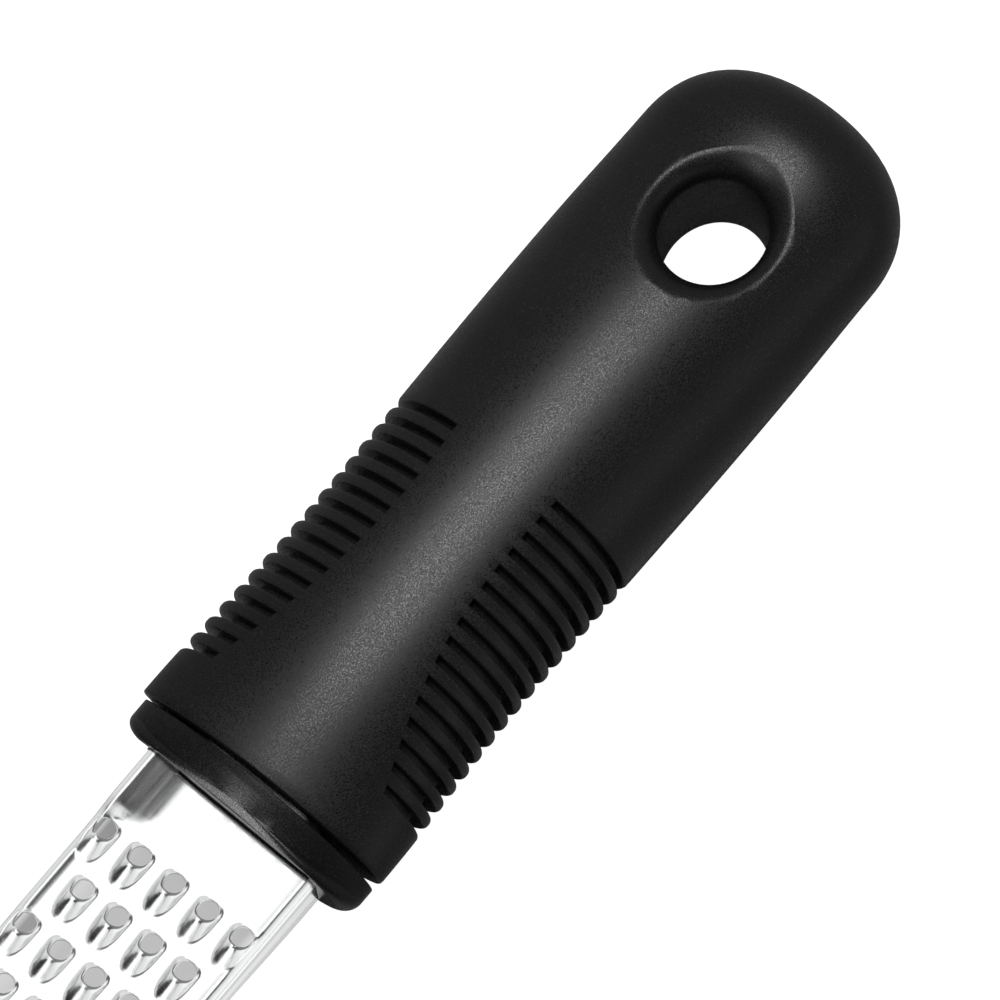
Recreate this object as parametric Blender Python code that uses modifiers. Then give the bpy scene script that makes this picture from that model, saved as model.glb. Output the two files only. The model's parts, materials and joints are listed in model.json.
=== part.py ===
"""Narrow hand grater: a toothed steel channel in a soft grip with ribbed sides.

Run with: blender --background --python part.py

The tool lies along X, with the free end of the blade at -X and the butt of the grip at +X. Z is up
and is the side that the teeth cut on. The pieces are modelled about the grip's own centre line, with
zero at its front edge, and hang on one empty that stands the tool on the grip's belly.
"""

from math import cos, pi, radians, sin

import bmesh
import bpy
from mathutils import Matrix, Vector

# Soft grip
GRIP_LENGTH = 0.1056
WAIST_HALF_WIDTH = 0.01705
WAIST_FROM_FRONT = 0.0283
WIDEST_HALF_WIDTH = 0.0176
WIDEST_FROM_BUTT = 0.0308
SHOULDER_HALF_WIDTH = 0.0174
FRONT_HALF_HEIGHT = 0.0086
BELLY_HALF_HEIGHT = 0.0141
BELLY_FROM_BUTT = 0.0533
SHOULDER_HALF_HEIGHT = 0.0110
BUTT_ROUND = 0.0146
BUTT_EDGE_ROUND = 0.0120
GRIP_EDGE_ROUND = 0.0006
SECTION_POWER = 2.1
BUTT_POWER = 2.3

# Hanging hole through the grip
HOLE_FROM_BUTT = 0.0223
HOLE_LENGTH = 0.0140
HOLE_WIDTH = 0.0124
HOLE_MOUTH_ALONG = 0.0034
HOLE_MOUTH_ACROSS = 0.0025
HOLE_MOUTH_DEPTH = 0.0040

# Ribs along both sides of the grip
RIB_GROOVES = 16
RIB_PITCH = 0.00248
GROOVE_WIDTH = 0.0010
GROOVE_DEPTH = 0.0021
FIRST_GROOVE_FROM_FRONT = 0.0078
CROWN_HALF_WIDTH = 0.00705
CROWN_FLARE = 0.0058
CROWN_NARROWEST_FROM_FRONT = 0.0373

# Toothed blade, a bent steel channel
BLADE_LENGTH = 0.1975
BLADE_WIDTH = 0.0255
SHEET = 0.0005
BEND_RADIUS = 0.0009
WALL_HEIGHT = 0.0048
ROOT_WALL_BELOW_CENTRE = 0.0030
ROOT_FLARE = 0.021

# Teeth of the blade
TOOTH_PITCH = 0.00509
ROW_PITCH = 0.00709
FIRST_ROW_FROM_COLLAR = 0.0099
TOOTH_HOLE_RADIUS = 0.00135
TOOTH_HEIGHT = 0.00115
TOOTH_LIP = 0.00017
TOOTH_CHEEK = 0.00013
TOOTH_GAP = 0.00064

# Tang of the blade and the two pins through it
TANG_WIDTH = 0.0150
TANG_TO_CORE_END = 0.0100
PIN_RADIUS = 0.0018
PIN_FROM_CORE_FRONT = 0.0090
PIN_FROM_TANG_END = 0.0060

# Core halves that clamp the tang inside the grip
CORE_SIDE = 0.0020
CORE_TOP_COVER = 0.0018
CORE_TO_CROWN = 0.0030
CORE_TO_HOLE = 0.0100
CORE_EDGE = 0.0005
PIN_RECESS = 0.0006

# Collar between the blade and the grip
COLLAR_LENGTH = 0.0048
COLLAR_BESIDE_BLADE = 0.00445
COLLAR_SIDE_STEP = 0.0008
COLLAR_CROWN_STEP = 0.0004
COLLAR_FACE_ROUND = 0.0023
COLLAR_SIDE_ROUND = 0.0015
COLLAR_CROWN_ROUND = 0.0010
COLLAR_WEB = 0.0015
COLLAR_GAP = 0.00075
SPIGOT_LENGTH = 0.0030

# Foot on the free end of the blade
FOOT_LENGTH = 0.0120
FOOT_WALL = 0.0018
FOOT_END = 0.0020
FOOT_SOLE = 0.0022
FOOT_CORNER = 0.0038
FOOT_EDGE = 0.0007

# Room between pieces that touch
CLEARANCE = 0.0003

# Mesh fineness
SECTION_POINTS = 24
GROOVE_STEPS = 5
HOLE_POINTS = 24
TOOTH_POINTS = 8
PIN_SIDES = 16
OUTSIDE = 0.010
MERGE = 0.000002

# Places along the tool that follow from the sizes
COLLAR_BACK = -COLLAR_GAP
COLLAR_FRONT = COLLAR_BACK - COLLAR_LENGTH
BLADE_ROOT = COLLAR_BACK - COLLAR_WEB
FOOT_FRONT = COLLAR_FRONT - BLADE_LENGTH
FOOT_BACK = FOOT_FRONT + FOOT_LENGTH
BLADE_TIP = FOOT_FRONT + FOOT_END
BELLY = GRIP_LENGTH - BELLY_FROM_BUTT
SHOULDER = GRIP_LENGTH - BUTT_ROUND
HOLE_CENTRE = GRIP_LENGTH - HOLE_FROM_BUTT
SPIGOT_BACK = COLLAR_BACK + SPIGOT_LENGTH
CORE_FRONT = SPIGOT_BACK + CLEARANCE
CORE_BACK = HOLE_CENTRE - HOLE_LENGTH / 2 - CORE_TO_HOLE
TANG_END = CORE_BACK - TANG_TO_CORE_END
FRONT_PIN = CORE_FRONT + PIN_FROM_CORE_FRONT
REAR_PIN = TANG_END - PIN_FROM_TANG_END

# Widths and heights that follow from the sizes; heights are over the centre line
COLLAR_HALF_WIDTH = BLADE_WIDTH / 2 + COLLAR_BESIDE_BLADE
COLLAR_HALF_HEIGHT = FRONT_HALF_HEIGHT - COLLAR_CROWN_STEP
FRONT_HALF_WIDTH = COLLAR_HALF_WIDTH + COLLAR_SIDE_STEP
CORE_WIDTH = TANG_WIDTH + 2 * CORE_SIDE
CORE_TOP = FRONT_HALF_HEIGHT - CORE_TO_CROWN
CORE_BOTTOM = -CORE_TOP
BLADE_LEVEL = CORE_TOP - CORE_TOP_COVER
TANG_BOTTOM = BLADE_LEVEL - SHEET
CORE_SPLIT = BLADE_LEVEL - SHEET / 2
ROOT_WALL_HEIGHT = BLADE_LEVEL + ROOT_WALL_BELOW_CENTRE
FLAT_HALF_WIDTH = BLADE_WIDTH / 2 - BEND_RADIUS

# Teeth that fit on the blade; each scoop runs from its hole towards the free end
TOOTH_HALF_WIDTH = TOOTH_HOLE_RADIUS + TOOTH_CHEEK
TOOTH_FRONT = TOOTH_HOLE_RADIUS + TOOTH_LIP
TOOTH_REACH = ROW_PITCH - 2 * TOOTH_GAP - TOOTH_FRONT
TOOTH_SHIFT = (TOOTH_REACH - TOOTH_FRONT) / 2
TOOTHED_LENGTH = BLADE_LENGTH - FOOT_LENGTH - FIRST_ROW_FROM_COLLAR - TOOTH_SHIFT - ROW_PITCH / 2
ROWS = int(TOOTHED_LENGTH / ROW_PITCH) + 1
WIDE_ROW = 2 * int((FLAT_HALF_WIDTH - TOOTH_HALF_WIDTH) / TOOTH_PITCH) + 1


def clear_scene():
    for item in list(bpy.data.objects):
        bpy.data.objects.remove(item, do_unlink=True)


def new_collection(name):
    collection = bpy.data.collections.new(name)
    bpy.context.scene.collection.children.link(collection)
    return collection


def new_material(name, colour, roughness, metallic):
    material = bpy.data.materials.new(name)
    material.use_nodes = True
    shader = material.node_tree.nodes["Principled BSDF"]
    shader.inputs["Base Color"].default_value = (*colour, 1.0)
    shader.inputs["Roughness"].default_value = roughness
    shader.inputs["Metallic"].default_value = metallic
    material.diffuse_color = (*colour, 1.0)
    return material


def add_object(bm, name, collection, axis, material=None):
    """Turn a bmesh into a named object that hangs on the tool's axis."""
    mesh = bpy.data.meshes.new(name)
    bm.to_mesh(mesh)
    bm.free()
    item = bpy.data.objects.new(name, mesh)
    item.parent = axis
    collection.objects.link(item)
    if material:
        mesh.materials.append(material)
    return item


def shade(item, angle=35.0):
    item.data.shade_smooth()
    item.data.set_sharp_from_angle(angle=radians(angle))


def cut(item, cutter, operation="DIFFERENCE"):
    """Boolean modifier with a cutter that stays out of the build."""
    cutter.hide_render = True
    cutter.display_type = "WIRE"
    modifier = item.modifiers.new(cutter.name, "BOOLEAN")
    modifier.operation = operation
    modifier.solver = "EXACT"
    modifier.object = cutter


def block(low, high):
    """A closed block between two corners, as a bmesh."""
    bm = bmesh.new()
    middle = (Vector(low) + Vector(high)) / 2
    size = Vector(high) - Vector(low)
    bmesh.ops.create_cube(bm, size=1.0, matrix=Matrix.Translation(middle) @ Matrix.Diagonal((*size, 1.0)))
    return bm


def skin(bm, sections, closed=True):
    """Quads between lines or rings of points of equal count; returns the rings as vertices."""
    rings = [[bm.verts.new(point) for point in section] for section in sections]
    count = len(rings[0])
    for near, far in zip(rings, rings[1:]):
        for k in range(count if closed else count - 1):
            after = (k + 1) % count
            bm.faces.new((near[k], near[after], far[after], far[k]))
    return rings


def loft(sections):
    """A closed solid through rings of equal count, as a bmesh."""
    bm = bmesh.new()
    rings = skin(bm, sections)
    bm.faces.new(reversed(rings[0]))
    bm.faces.new(rings[-1])
    bmesh.ops.recalc_face_normals(bm, faces=bm.faces)
    return bm


def prisms(outlines):
    """Closed solids from (outline, start, end), each outline of (y, z) drawn out along X."""
    bm = bmesh.new()
    for outline, start, end in outlines:
        face = bm.faces.new([bm.verts.new((start, y, z)) for y, z in outline])
        grown = bmesh.ops.extrude_face_region(bm, geom=[face], use_keep_orig=True)["geom"]
        moved = [vert for vert in grown if isinstance(vert, bmesh.types.BMVert)]
        bmesh.ops.translate(bm, verts=moved, vec=(end - start, 0.0, 0.0))
    bmesh.ops.recalc_face_normals(bm, faces=bm.faces)
    return bm


def signed_power(value, power):
    return abs(value) ** power * (1.0 if value >= 0 else -1.0)


def turn(k, count):
    """Cosine and sine of step k of count round a circle, with clean zeros."""
    angle = 2 * pi * k / count
    return round(cos(angle), 9), round(sin(angle), 9)


def oval(x, half_width, half_height):
    """Ring of points across X, a slightly squared oval."""
    points = []
    for k in range(SECTION_POINTS):
        ux, uy = turn(k, SECTION_POINTS)
        y = half_width * signed_power(ux, 2 / SECTION_POWER)
        z = half_height * signed_power(uy, 2 / SECTION_POWER)
        points.append((x, y, z))
    return points


def ease(share):
    return (1 - cos(pi * min(max(share, 0.0), 1.0))) / 2


def rounded_end(x, reach):
    """Share of its size that the grip keeps at x, where the butt rounds off over reach."""
    share = min(max((x - GRIP_LENGTH + reach) / reach, 0.0), 0.9985)
    return (1 - share ** BUTT_POWER) ** (1 / BUTT_POWER)


def grip_half_width(x):
    widest = GRIP_LENGTH - WIDEST_FROM_BUTT
    if x < WAIST_FROM_FRONT:
        return FRONT_HALF_WIDTH + (WAIST_HALF_WIDTH - FRONT_HALF_WIDTH) * ease(x / WAIST_FROM_FRONT)
    if x < widest:
        step = ease((x - WAIST_FROM_FRONT) / (widest - WAIST_FROM_FRONT))
        return WAIST_HALF_WIDTH + (WIDEST_HALF_WIDTH - WAIST_HALF_WIDTH) * step
    step = ease((x - widest) / (SHOULDER - widest))
    width = WIDEST_HALF_WIDTH + (SHOULDER_HALF_WIDTH - WIDEST_HALF_WIDTH) * step
    return width * rounded_end(x, BUTT_ROUND)


def grip_half_height(x):
    if x < BELLY:
        rise = 1 - (1 - max(x, 0.0) / BELLY) ** 2.2
        return FRONT_HALF_HEIGHT + (BELLY_HALF_HEIGHT - FRONT_HALF_HEIGHT) * rise
    fall = min((x - BELLY) / (SHOULDER - BELLY), 1.0) ** 1.7
    height = BELLY_HALF_HEIGHT + (SHOULDER_HALF_HEIGHT - BELLY_HALF_HEIGHT) * fall
    return height * rounded_end(x, BUTT_EDGE_ROUND)


def section_height(y, half_width, half_height):
    """Height of a grip section's edge at y."""
    share = min(abs(y) / half_width, 1.0)
    return half_height * (1 - share ** SECTION_POWER) ** (1 / SECTION_POWER)


def grip_sections():
    edge = GRIP_EDGE_ROUND
    front = [edge + (BELLY - edge) * share for share in (0.0, 0.1, 0.2, 0.32, 0.46, 0.64, 0.82)]
    rear = [BELLY + (SHOULDER - BELLY) * share for share in (0.0, 0.3, 0.6, 0.82)]
    butt = [SHOULDER + BUTT_ROUND * sin(radians(angle)) for angle in (0, 18, 34, 48, 61, 73, 83, 90)]
    sections = [oval(0.0, grip_half_width(0.0) - edge, grip_half_height(0.0) - edge)]
    for x in front + rear + butt:
        sections.append(oval(x, grip_half_width(x), grip_half_height(x)))
    return sections


def crown_half_width(x):
    """Half the width of the smooth crown that runs between the ribs."""
    away = abs(x - CROWN_NARROWEST_FROM_FRONT)
    span = CROWN_NARROWEST_FROM_FRONT - FIRST_GROOVE_FROM_FRONT
    return CROWN_HALF_WIDTH + CROWN_FLARE * (away / span) ** 2.15


def groove_outline(x, side):
    """Outline across X of what one groove removes from one side of the grip."""
    half_width = grip_half_width(x) - GROOVE_DEPTH
    half_height = grip_half_height(x) - GROOVE_DEPTH
    start = crown_half_width(x)
    floor_end = section_height(start, half_width, half_height)
    outline = []
    for k in range(GROOVE_STEPS + 1):
        z = floor_end * cos(pi * k / GROOVE_STEPS)
        share = 1 - (abs(z) / half_height) ** SECTION_POWER
        outline.append((half_width * share ** (1 / SECTION_POWER), z))
    top = half_height + OUTSIDE
    outline += [(start, -top), (half_width + OUTSIDE, -top), (half_width + OUTSIDE, top), (start, top)]
    return [(side * y, z) for y, z in outline]


def rib_grooves():
    """All the grooves that leave the ribs standing, on both sides."""
    slots = []
    for k in range(RIB_GROOVES):
        x = FIRST_GROOVE_FROM_FRONT + RIB_PITCH * k
        for side in (1, -1):
            slots.append((groove_outline(x, side), x - GROOVE_WIDTH / 2, x + GROOVE_WIDTH / 2))
    return prisms(slots)


def hanging_hole():
    """An oval bore whose wide rounded mouths follow the curved faces of the grip."""
    mouth = [(-0.25, 1.5), (0.2, 0.56), (0.6, 0.125), (1.0, 0.0)]
    sections = []
    for side, levels in ((1, mouth), (-1, mouth[::-1])):
        for depth, grow in levels:
            ring = []
            for k in range(HOLE_POINTS):
                ux, uy = turn(k, HOLE_POINTS)
                x = HOLE_CENTRE + (HOLE_LENGTH / 2 + grow * HOLE_MOUTH_ALONG) * ux
                y = (HOLE_WIDTH / 2 + grow * HOLE_MOUTH_ACROSS) * uy
                surface = section_height(y, grip_half_width(x), grip_half_height(x))
                ring.append((x, y, side * (surface - depth * HOLE_MOUTH_DEPTH)))
            sections.append(ring)
    over = BELLY_HALF_HEIGHT + OUTSIDE
    sections.insert(0, [(x, y, over) for x, y, z in sections[0]])
    sections.append([(x, y, -over) for x, y, z in sections[-1]])
    return loft(sections)


def core_pocket():
    """Room in the grip for the core and for the collar's spigot."""
    half = CORE_WIDTH / 2 + CLEARANCE
    low = (-OUTSIDE, -half, CORE_BOTTOM - CLEARANCE)
    return block(low, (CORE_BACK + CLEARANCE, half, CORE_TOP + CLEARANCE))


def wall_height(x):
    """Height of the blade's side walls, which deepen towards the collar."""
    share = (x - COLLAR_FRONT + ROOT_FLARE) / ROOT_FLARE
    return WALL_HEIGHT + (ROOT_WALL_HEIGHT - WALL_HEIGHT) * ease(share)


def wall_line(x, side, height, grow=0.0):
    """Points round one bend of the channel and down its wall."""
    points = []
    for angle in (0, 45, 90):
        y = FLAT_HALF_WIDTH + (BEND_RADIUS + grow) * sin(radians(angle))
        z = (BEND_RADIUS + grow) * cos(radians(angle)) - BEND_RADIUS
        points.append((x, side * y, z))
    points.append((x, side * (BLADE_WIDTH / 2 + grow), -height - grow))
    return points


def channel_outline(height, grow):
    """Closed outline of the bent sheet, grown all round, as (y, z) about the centre line."""
    inside = BLADE_WIDTH / 2 - SHEET - grow
    half = [point[1:] for point in wall_line(0.0, 1, height, grow)]
    half += [(inside, -height - grow), (inside, -SHEET - grow)]
    whole = half + [(-y, z) for y, z in reversed(half)]
    return [(y, z + BLADE_LEVEL) for y, z in whole]


def tooth_rings(x, y, low, high):
    """Rings of one scoop: lip of its hole, crest, foot, and the tile of flat sheet from low to high.

    The hole faces the grip and its lip stands highest on the far side. The crest has points of its own
    only over the far end of the scoop; elsewhere it lies on the foot. The tile has its four corners and
    the midpoints where the staggered teeth of the next rows meet it.
    """
    lip, crest, foot, tile = [], [], [], []
    for k in range(TOOTH_POINTS):
        ux, uy = turn(k, TOOTH_POINTS)
        side = (uy > 0) - (uy < 0)
        lip.append((x + ux * TOOTH_HOLE_RADIUS, y + uy * TOOTH_HOLE_RADIUS, TOOTH_HEIGHT * (1 - ux) / 2))
        if ux > -0.1:
            foot.append((x + ux * TOOTH_FRONT, y + uy * TOOTH_HALF_WIDTH, 0.0))
            crest.append(foot[-1])
        else:
            reach = TOOTH_REACH * (0.76 if side else 1.0)
            crown = TOOTH_HEIGHT * (0.66 if side else 0.84)
            foot.append((x - reach, y + side * 0.86 * TOOTH_HALF_WIDTH, 0.0))
            crest.append((x - 0.74 * reach, y + side * 0.68 * TOOTH_HALF_WIDTH, crown))
        forward = 1 if ux > -0.1 else -1
        tile_y = high if side > 0 else low if side < 0 else y
        tile.append((x - TOOTH_SHIFT + ROW_PITCH / 2 * forward, tile_y, 0.0))
    return lip, crest, foot, tile


def add_row(bm, x, count):
    """One row of teeth across the flat of the blade; x is the centre of its holes."""
    wide = count == WIDE_ROW
    edge = TOOTH_PITCH * count / 2
    outer = FLAT_HALF_WIDTH if wide else edge
    for k in range(count):
        y = TOOTH_PITCH * (k - (count - 1) / 2)
        low = -outer if k == 0 else y - TOOTH_PITCH / 2
        high = outer if k == count - 1 else y + TOOTH_PITCH / 2
        skin(bm, tooth_rings(x, y, low, high))
    if not wide:
        near, far = x - TOOTH_SHIFT - ROW_PITCH / 2, x - TOOTH_SHIFT + ROW_PITCH / 2
        for side in (1, -1):
            ends = ((near, edge), (near, FLAT_HALF_WIDTH), (far, FLAT_HALF_WIDTH), (far, edge))
            bm.faces.new([bm.verts.new((along, side * across, 0.0)) for along, across in ends])


def tang_line(x):
    """Points across the tang, where its tiles meet."""
    half = TANG_WIDTH / 2
    spread = [turn(k, PIN_SIDES) for k in range(-PIN_SIDES // 8, PIN_SIDES // 8 + 1)]
    return [(x, half * uy / ux, 0.0) for ux, uy in spread]


def add_tang_tile(bm, start, end, pin):
    """A flat stretch of tang with the hole for one pin."""
    hole, tile = [], []
    for k in range(PIN_SIDES):
        ux, uy = turn(k, PIN_SIDES)
        longest = max(abs(ux), abs(uy))
        reach = (end - pin) if ux > 0 else (pin - start)
        hole.append((pin + ux * (PIN_RADIUS + CLEARANCE), uy * (PIN_RADIUS + CLEARANCE), 0.0))
        tile.append((pin + ux / longest * reach, uy / longest * TANG_WIDTH / 2, 0.0))
    skin(bm, (hole, tile))


def blade_surface():
    """Top and outer face of the blade with its tang, its flat at zero height."""
    bm = bmesh.new()
    flat = FLAT_HALF_WIDTH
    for k in range(ROWS):
        add_row(bm, COLLAR_FRONT - FIRST_ROW_FROM_COLLAR - ROW_PITCH * k, WIDE_ROW - k % 2)
    first_edge = COLLAR_FRONT - FIRST_ROW_FROM_COLLAR - TOOTH_SHIFT + ROW_PITCH / 2
    edges = [first_edge - ROW_PITCH * k for k in range(ROWS + 1)]
    across = [-flat] + [TOOTH_PITCH / 2 * i for i in range(1 - WIDE_ROW, WIDE_ROW)] + [flat]
    root = [(COLLAR_FRONT, flat), (BLADE_ROOT, flat)]
    root += [(x, y) for x, y, z in reversed(tang_line(BLADE_ROOT))]
    root += [(BLADE_ROOT, -flat), (COLLAR_FRONT, -flat)]
    tip = [(BLADE_TIP, flat), (BLADE_TIP, -flat)]
    for edge, plain in ((edges[0], root), (edges[-1], tip)):
        outline = [(edge, y) for y in across] + plain
        bm.faces.new([bm.verts.new((x, y, 0.0)) for x, y in outline])
    middle = (FRONT_PIN + REAR_PIN) / 2
    add_tang_tile(bm, BLADE_ROOT, middle, FRONT_PIN)
    add_tang_tile(bm, middle, TANG_END, REAR_PIN)
    for side in (1, -1):
        stations = [BLADE_ROOT, COLLAR_FRONT, *edges, BLADE_TIP]
        skin(bm, [wall_line(x, side, wall_height(x)) for x in stations], closed=False)
    bmesh.ops.remove_doubles(bm, verts=bm.verts, dist=MERGE)
    bmesh.ops.recalc_face_normals(bm, faces=bm.faces)
    if max(bm.faces, key=lambda face: face.calc_area()).normal.z < 0:
        bmesh.ops.reverse_faces(bm, faces=bm.faces)
    return bm


def make_blade(parts, axis, steel):
    blade = add_object(blade_surface(), "toothed_blade", parts, axis, steel)
    blade.location.z = BLADE_LEVEL
    sheet = blade.modifiers.new("sheet", "SOLIDIFY")
    sheet.thickness = SHEET
    sheet.offset = -1.0
    sheet.use_even_offset = True
    shade(blade, 30.0)
    return blade


def make_foot(parts, cutters, axis, rubber):
    """Soft foot that the free end of the channel is pressed into."""
    half = BLADE_WIDTH / 2 + FOOT_WALL
    bottom = BLADE_LEVEL - WALL_HEIGHT - FOOT_SOLE
    bm = block((FOOT_FRONT, -half, bottom), (FOOT_BACK, half, BLADE_LEVEL + FOOT_WALL))
    front = min(vert.co.x for vert in bm.verts)
    upright = [edge for edge in bm.edges if all(abs(v.co.x - front) < MERGE for v in edge.verts)
               and abs(edge.verts[0].co.y - edge.verts[1].co.y) < MERGE]
    bmesh.ops.bevel(bm, geom=upright, offset=FOOT_CORNER, segments=5, profile=0.5, affect="EDGES")
    rims = [edge for edge in bm.edges if abs(edge.verts[0].co.z - edge.verts[1].co.z) < MERGE]
    bmesh.ops.bevel(bm, geom=rims, offset=FOOT_EDGE, segments=2, profile=0.5, affect="EDGES")
    foot = add_object(bm, "tip_foot", parts, axis, rubber)
    slot = prisms([(channel_outline(WALL_HEIGHT, CLEARANCE), BLADE_TIP - CLEARANCE, FOOT_BACK + OUTSIDE)])
    cut(foot, add_object(slot, "foot_slot", cutters, axis))
    shade(foot)
    return foot


def collar_body():
    """Oval collar whose front edge is rounded, more at the sides than over the crown."""
    sections = [oval(COLLAR_BACK, COLLAR_HALF_WIDTH, COLLAR_HALF_HEIGHT)]
    for angle in (0, 30, 60, 90):
        x = COLLAR_FRONT + COLLAR_FACE_ROUND * (1 - sin(radians(angle)))
        inset = 1 - cos(radians(angle))
        half_width = COLLAR_HALF_WIDTH - COLLAR_SIDE_ROUND * inset
        sections.append(oval(x, half_width, COLLAR_HALF_HEIGHT - COLLAR_CROWN_ROUND * inset))
    return loft(sections)


def make_collar(parts, cutters, axis, tang_room, plastic):
    collar = add_object(collar_body(), "front_collar", parts, axis, plastic)
    low = (COLLAR_BACK - COLLAR_LENGTH / 4, -CORE_WIDTH / 2, CORE_BOTTOM)
    spigot = add_object(block(low, (SPIGOT_BACK, CORE_WIDTH / 2, CORE_TOP)), "spigot", cutters, axis)
    room = channel_outline(ROOT_WALL_HEIGHT, CLEARANCE)
    slot = prisms([(room, COLLAR_FRONT - OUTSIDE, BLADE_ROOT + CLEARANCE)])
    cut(collar, spigot, "UNION")
    cut(collar, add_object(slot, "blade_slot", cutters, axis))
    cut(collar, tang_room)
    shade(collar)
    return collar


def make_core(parts, cutters, axis, tang_room, plastic):
    """Two halves that meet beside the tang and hold it on the pins."""
    bm = bmesh.new()
    tall = 2 * (CORE_TOP - CORE_BOTTOM)
    for x in (FRONT_PIN, REAR_PIN):
        bmesh.ops.create_cone(bm, cap_ends=True, segments=PIN_SIDES, radius1=PIN_RADIUS + CLEARANCE,
                              radius2=PIN_RADIUS + CLEARANCE, depth=tall, matrix=Matrix.Translation((x, 0, 0)))
    pin_room = add_object(bm, "pin_room", cutters, axis)
    halves = (("core_upper_half", CORE_SPLIT + CLEARANCE / 2, CORE_TOP),
              ("core_lower_half", CORE_BOTTOM, CORE_SPLIT - CLEARANCE / 2))
    for name, low, high in halves:
        bm = block((CORE_FRONT, -CORE_WIDTH / 2, low), (CORE_BACK, CORE_WIDTH / 2, high))
        bmesh.ops.bevel(bm, geom=bm.edges[:], offset=CORE_EDGE, segments=1, profile=0.5, affect="EDGES")
        half = add_object(bm, name, parts, axis, plastic)
        cut(half, tang_room)
        cut(half, pin_room)


def make_pins(parts, axis, steel):
    low, high = CORE_BOTTOM + PIN_RECESS, CORE_TOP - PIN_RECESS
    for name, x in (("tang_pin_front", FRONT_PIN), ("tang_pin_rear", REAR_PIN)):
        bm = bmesh.new()
        bmesh.ops.create_cone(bm, cap_ends=True, segments=PIN_SIDES, radius1=PIN_RADIUS, radius2=PIN_RADIUS,
                              depth=high - low)
        pin = add_object(bm, name, parts, axis, steel)
        pin.location = (x, 0.0, (low + high) / 2)
        shade(pin)


def make_grip(parts, cutters, axis, rubber):
    grip = add_object(loft(grip_sections()), "soft_grip", parts, axis, rubber)
    cut(grip, add_object(core_pocket(), "core_pocket", cutters, axis))
    cut(grip, add_object(hanging_hole(), "hanging_hole", cutters, axis))
    cut(grip, add_object(rib_grooves(), "rib_grooves", cutters, axis))
    shade(grip)
    return grip


def build():
    clear_scene()
    parts = new_collection("hand_grater")
    cutters = new_collection("cutters")
    axis = bpy.data.objects.new("tool_axis", None)
    parts.objects.link(axis)
    axis.location = ((-FOOT_FRONT - GRIP_LENGTH) / 2, 0.0, BELLY_HALF_HEIGHT)
    steel = new_material("polished_steel", (0.78, 0.79, 0.80), 0.16, 1.0)
    rubber = new_material("soft_black", (0.016, 0.016, 0.017), 0.55, 0.0)
    plastic = new_material("collar_black", (0.018, 0.018, 0.019), 0.45, 0.0)
    inner = new_material("core_grey", (0.09, 0.09, 0.10), 0.5, 0.0)

    half = TANG_WIDTH / 2 + CLEARANCE
    low = (BLADE_ROOT - SHEET, -half, TANG_BOTTOM - CLEARANCE)
    room = block(low, (TANG_END + CLEARANCE, half, BLADE_LEVEL + CLEARANCE))
    tang_room = add_object(room, "tang_room", cutters, axis)

    make_blade(parts, axis, steel)
    make_foot(parts, cutters, axis, rubber)
    make_collar(parts, cutters, axis, tang_room, plastic)
    make_core(parts, cutters, axis, tang_room, inner)
    make_pins(parts, axis, steel)
    make_grip(parts, cutters, axis, rubber)
    bpy.context.view_layer.update()


if __name__ == "__main__":
    build()
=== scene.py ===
"""Narrow hand grater with a scooped steel blade, a black collar and a soft ribbed grip.

The sidebar panel "Grater" lists one button for each piece and one for the stage. Run as a script, the
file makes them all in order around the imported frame.
"""

import json
from math import asin, cos, pi, radians, sin, tanh

import bmesh
import bpy
from bpy.props import FloatProperty, FloatVectorProperty, IntProperty, PointerProperty
from mathutils import Matrix, Vector

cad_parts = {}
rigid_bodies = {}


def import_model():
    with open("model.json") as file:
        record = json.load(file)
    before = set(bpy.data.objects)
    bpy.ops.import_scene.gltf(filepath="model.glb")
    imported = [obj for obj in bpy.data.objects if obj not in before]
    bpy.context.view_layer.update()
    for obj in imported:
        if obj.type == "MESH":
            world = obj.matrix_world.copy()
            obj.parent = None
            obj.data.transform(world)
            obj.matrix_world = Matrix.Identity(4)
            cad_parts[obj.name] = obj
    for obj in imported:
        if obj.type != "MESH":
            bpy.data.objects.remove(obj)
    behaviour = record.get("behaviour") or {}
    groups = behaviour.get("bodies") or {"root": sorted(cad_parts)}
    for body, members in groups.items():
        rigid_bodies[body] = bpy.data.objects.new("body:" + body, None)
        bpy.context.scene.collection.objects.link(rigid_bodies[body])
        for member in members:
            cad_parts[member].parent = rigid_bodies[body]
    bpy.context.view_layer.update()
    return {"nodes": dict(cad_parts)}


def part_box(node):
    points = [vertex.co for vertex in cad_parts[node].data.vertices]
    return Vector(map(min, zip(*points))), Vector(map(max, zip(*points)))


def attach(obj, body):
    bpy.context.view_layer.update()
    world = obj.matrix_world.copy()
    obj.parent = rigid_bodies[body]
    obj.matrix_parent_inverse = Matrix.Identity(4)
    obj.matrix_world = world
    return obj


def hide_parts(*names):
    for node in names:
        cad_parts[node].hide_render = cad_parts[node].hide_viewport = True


bl_info = {
    "name": "Hand Grater",
    "version": (1, 0, 0),
    "blender": (4, 5, 0),
    "location": "View3D > Sidebar > Grater",
    "description": "Makes the pieces of a narrow hand grater and a plain stage for it",
    "category": "Object",
}

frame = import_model()

# Room where pieces meet
COLLAR_GAP = 0.00075
COLLAR_WEB = 0.0015
CORE_TOP_COVER = 0.0018
CLEARANCE = 0.0003
SLOT_ROOM = 0.00006
TIP_ROOM = 0.0001

# Places read from the frame
GRIP_LOW, GRIP_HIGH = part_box("soft_grip")
COLLAR_LOW, COLLAR_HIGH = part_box("front_collar")
BLADE_LOW, BLADE_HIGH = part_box("toothed_blade")
FOOT_LOW, FOOT_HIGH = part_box("tip_foot")
CORE_LOW, CORE_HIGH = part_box("core_lower_half")
UPPER_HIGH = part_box("core_upper_half")[1]

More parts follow.
